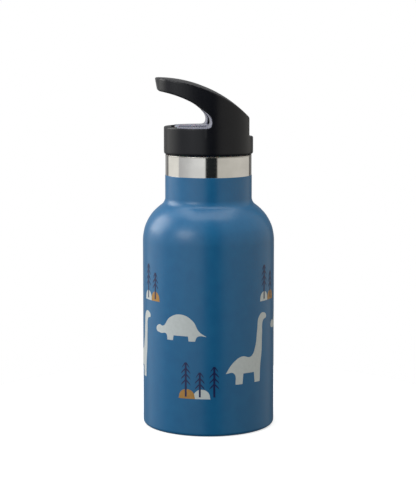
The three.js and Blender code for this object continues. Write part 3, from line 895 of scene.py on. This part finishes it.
# ------------------------------------------------------------------ print on the coat

# Plain animals, hills and trees of no particular kind. An outline's points are (distance round the
# bottle, height, smooth), in millimetres. Distance 0 is the front, towards -Y, and distances grow
# towards +X. The whole print is then turned a little, by PRINT_TURN degrees.
PRINT_TURN = -4
REPEATS = (0, 120, -120)
FILM_START = 0.015
FILM_STEP = 0.03
FILM_THICKNESS = 0.02
STRIP = 1.2

DOME_BACKED = [
    (-31, 54.7, 1), (-28.9, 57.3, 1), (-25.9, 56.9, 1), (-21.6, 61.6, 1), (-14.7, 63.8, 1),
    (-8.3, 60.8, 1), (-4.8, 55.2, 1), (-1, 52.6, 0), (-5.7, 52.6, 1), (-7, 50, 0), (-10.4, 50, 0),
    (-10.8, 52.6, 0), (-19, 52.6, 0), (-19.4, 50, 0), (-22.9, 50, 0), (-23.7, 53, 1),
    (-27.6, 53, 1),
]
TALL_GRAZER = [
    (9, 33, 0), (13, 38.5, 1), (18, 41.5, 1), (24, 41, 1), (27, 46, 1), (28.5, 55, 1),
    (30, 61.5, 1), (33.5, 63, 1), (36.5, 60.5, 1), (33.5, 59, 1), (32.5, 52, 1), (32, 42, 1),
    (31, 36, 1), (30.5, 27, 0), (26.5, 27, 0), (26, 32.5, 0), (19, 32.5, 0), (18.5, 27, 0),
    (14.5, 27, 0), (13.5, 33, 1),
]
# Conifers: distance, foot, top, half breadth, pairs of boughs, distance between pairs
TREES = [
    (-12, 21, 39, 2.5, 4, 3), (-4.5, 21, 34, 2.5, 3, 3), (3, 21, 37, 2.5, 4, 3),
    (-39, 70, 88, 2.3, 4, 2.8), (-32, 70, 84, 2.3, 3, 2.8),
]


def hill(x, foot, half, height):
    """A rounded hill on a flat foot."""
    return [(x - half, foot, 0), (x - half * 0.75, foot + height * 0.7, 1),
            (x, foot + height, 1), (x + half * 0.75, foot + height * 0.7, 1),
            (x + half, foot, 0)]


def conifer(x, foot, top, breadth, pairs, apart):
    """A trunk with drooping boughs, as one outline."""
    trunk, bough, droop = 0.5, 0.5, 2.0
    left, right = [], []
    for k in range(pairs):
        joint = top - 0.5 - (pairs - 1 - k) * apart
        reach = breadth * (0.8 if k == pairs - 1 else 1)
        for side, points in ((-1, left), (1, right)):
            points += [(x + side * trunk, joint - bough, 0),
                       (x + side * (reach + 0.1), joint - droop - bough, 0),
                       (x + side * (reach - 0.3), joint - droop + bough + 0.1, 0),
                       (x + side * trunk, joint + bough, 0)]
    return [(x - trunk, foot, 0), *left, (x, top, 0), *reversed(right), (x + trunk, foot, 0)]


def flat(points):
    """The filled outline, lying in XY."""
    curve = bpy.data.curves.new("outline", "CURVE")
    curve.dimensions = "2D"
    curve.fill_mode = "BOTH"
    curve.resolution_u = 6
    spline = curve.splines.new("BEZIER")
    spline.bezier_points.add(len(points) - 1)
    spline.use_cyclic_u = True
    for knot, (x, z, smooth) in zip(spline.bezier_points, points):
        knot.co = (x, z, 0)
        kind = "AUTO" if smooth else "VECTOR"
        knot.handle_left_type = knot.handle_right_type = kind
    return mesh_of(curve)


def wrapped(points, radius, turn):
    """One outline cut in narrow strips and bent round the coat, turned by degrees."""
    bm = flat(points)
    at = min(x for x, _, _ in points) + STRIP
    end = max(x for x, _, _ in points)
    while at < end:
        bmesh.ops.bisect_plane(bm, geom=bm.verts[:] + bm.edges[:] + bm.faces[:], dist=1e-4,
                               plane_co=(at, 0, 0), plane_no=(1, 0, 0))
        at += STRIP
    for vert in bm.verts:
        angle = vert.co.x / BODY_RADIUS + math.radians(turn)
        vert.co = (radius * math.sin(angle), -radius * math.cos(angle), vert.co.y)
    return bm


def printed(name, outlines, level, material):
    """One ink's film on the coat, its outlines repeated round the bottle."""
    radius = BODY_RADIUS + FILM_START + FILM_STEP * level
    film = bmesh.new()
    for repeat in REPEATS:
        for points in outlines:
            film = joined(film, wrapped(points, radius, repeat + PRINT_TURN))
    bmesh.ops.recalc_face_normals(film, faces=film.faces[:])
    bmesh.ops.solidify(film, geom=film.faces[:], thickness=FILM_THICKNESS)
    bmesh.ops.recalc_face_normals(film, faces=film.faces[:])
    piece = set_object(name, film, material)
    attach(piece, "bottle")


cream = [DOME_BACKED, TALL_GRAZER, hill(-3.5, 20, 4.5, 5), hill(-39, 69, 3.6, 5)]
ochre = [hill(-11.5, 20, 4.5, 5), hill(-32, 69, 3.6, 5)]
navy = [conifer(*tree) for tree in TREES]
printed("print_cream", cream, 0, CREAM)
printed("print_ochre", ochre, 1, OCHRE)
printed("print_navy", navy, 2, NAVY)

# ------------------------------------------------------------------ floor, light and camera


def floor():
    """A small round of pale paper that catches the bottle's shadow."""
    bm = bmesh.new()
    bmesh.ops.create_circle(bm, cap_ends=True, radius=0.15, segments=96)
    mesh = bpy.data.meshes.new("floor")
    bm.to_mesh(mesh)
    bm.free()
    piece = bpy.data.objects.new("floor", mesh)
    bpy.context.scene.collection.objects.link(piece)
    material, tree, shader = finish_of("floor_paper", "#D2D2D2", 0.9)
    mottled(tree, shader, "#D0D0D0", "#D4D4D4", 300)
    shader.inputs["Emission Color"].default_value = linear("#FFFFFF")
    shader.inputs["Emission Strength"].default_value = 0.6
    mesh.materials.append(material)
    piece.visible_diffuse = False
    piece.visible_glossy = False


def studio():
    """A soft white studio: pale panels to the left and right, a dark gap behind the camera and
    a dim one behind the bottle.
    """
    world = bpy.data.worlds.new("studio")
    bpy.context.scene.world = world
    world.use_nodes = True
    tree = world.node_tree
    place = add_node(tree, "ShaderNodeTexCoord")
    around = add_node(tree, "ShaderNodeTexGradient", {"Vector": place.outputs["Generated"]},
                      gradient_type="RADIAL")
    ramp = add_node(tree, "ShaderNodeValToRGB", {"Fac": around.outputs["Fac"]})
    stops = [
        (0.0, "#C8C9CB"), (0.14, "#EEF0F1"), (0.214, "#F8FAFA"), (0.220, "#25292B"),
        (0.301, "#202426"), (0.307, "#D4D2CB"), (0.5, "#DDDAD3"), (0.618, "#D6D3CC"),
        (0.63, "#5A5856"), (0.70, "#8E8E8E"), (0.82, "#A6A6A6"), (0.856, "#6A6A6A"),
        (0.872, "#FFFEF8"), (0.998, "#FFFEF8"),
    ]
    points = ramp.color_ramp.elements
    points[0].position, points[0].color = stops[0][0], linear(stops[0][1])
    points[1].position, points[1].color = stops[-1][0], linear(stops[-1][1])
    for position, colour in stops[1:-1]:
        points.new(position).color = linear(colour)
    light = tree.nodes["Background"]
    tree.links.new(ramp.outputs["Color"], light.inputs["Color"])
    # the room is dimmer below the table's edge
    height = add_node(tree, "ShaderNodeSeparateXYZ", {"Vector": place.outputs["Generated"]})
    dimming = add_node(tree, "ShaderNodeMapRange", {"Value": height.outputs["Z"]},
                       from_min=-0.55, from_max=-0.1, to_min=0.15, to_max=1.05)
    tree.links.new(dimming.outputs["Result"], light.inputs["Strength"])
    paper = add_node(tree, "ShaderNodeBackground", color=(1, 1, 1, 1), strength=1.0)
    seen = add_node(tree, "ShaderNodeLightPath")
    mix = add_node(tree, "ShaderNodeMixShader", {"Fac": seen.outputs["Is Camera Ray"]})
    tree.links.new(light.outputs[0], mix.inputs[1])
    tree.links.new(paper.outputs[0], mix.inputs[2])
    tree.links.new(mix.outputs[0], tree.nodes["World Output"].inputs["Surface"])


def softbox(name, azimuth, distance, height, wide, tall, watts):
    """A white panel lamp aimed at the bottle's middle. Azimuth 0 is the front."""
    lamp = bpy.data.lights.new(name, "AREA")
    lamp.shape = "RECTANGLE"
    lamp.size = wide
    lamp.size_y = tall
    lamp.energy = watts
    holder = bpy.data.objects.new(name, lamp)
    bpy.context.scene.collection.objects.link(holder)
    angle = math.radians(azimuth)
    holder.location = (math.sin(angle) * distance, -math.cos(angle) * distance, height)
    middle = Vector((0, 0, 0.09))
    aim = middle - holder.location
    holder.rotation_euler = aim.to_track_quat("-Z", "Y").to_euler()


def camera():
    lens = bpy.data.cameras.new("camera")
    lens.sensor_width = 36
    lens.lens = 114.3
    lens.shift_x = -0.001
    lens.shift_y = -0.0968
    lens.clip_start = 0.01
    holder = bpy.data.objects.new("camera", lens)
    bpy.context.scene.collection.objects.link(holder)
    angle = math.radians(-4)
    distance, height, looks_down = 0.808, 0.2012, 5.5
    holder.location = (math.sin(angle) * distance, -math.cos(angle) * distance, height)
    holder.rotation_euler = (math.radians(90 - looks_down), 0, angle)
    bpy.context.scene.camera = holder


bpy.context.scene.view_settings.view_transform = "Standard"
floor()
studio()
softbox("side_lamp", -115, 1.2, 0.64, 0.75, 0.75, 6.5)
softbox("front_lamp", -48, 1.3, 0.68, 0.65, 0.55, 4.5)
softbox("top_panel", 180, 0.1, 1.35, 1.3, 1.3, 11)
camera()
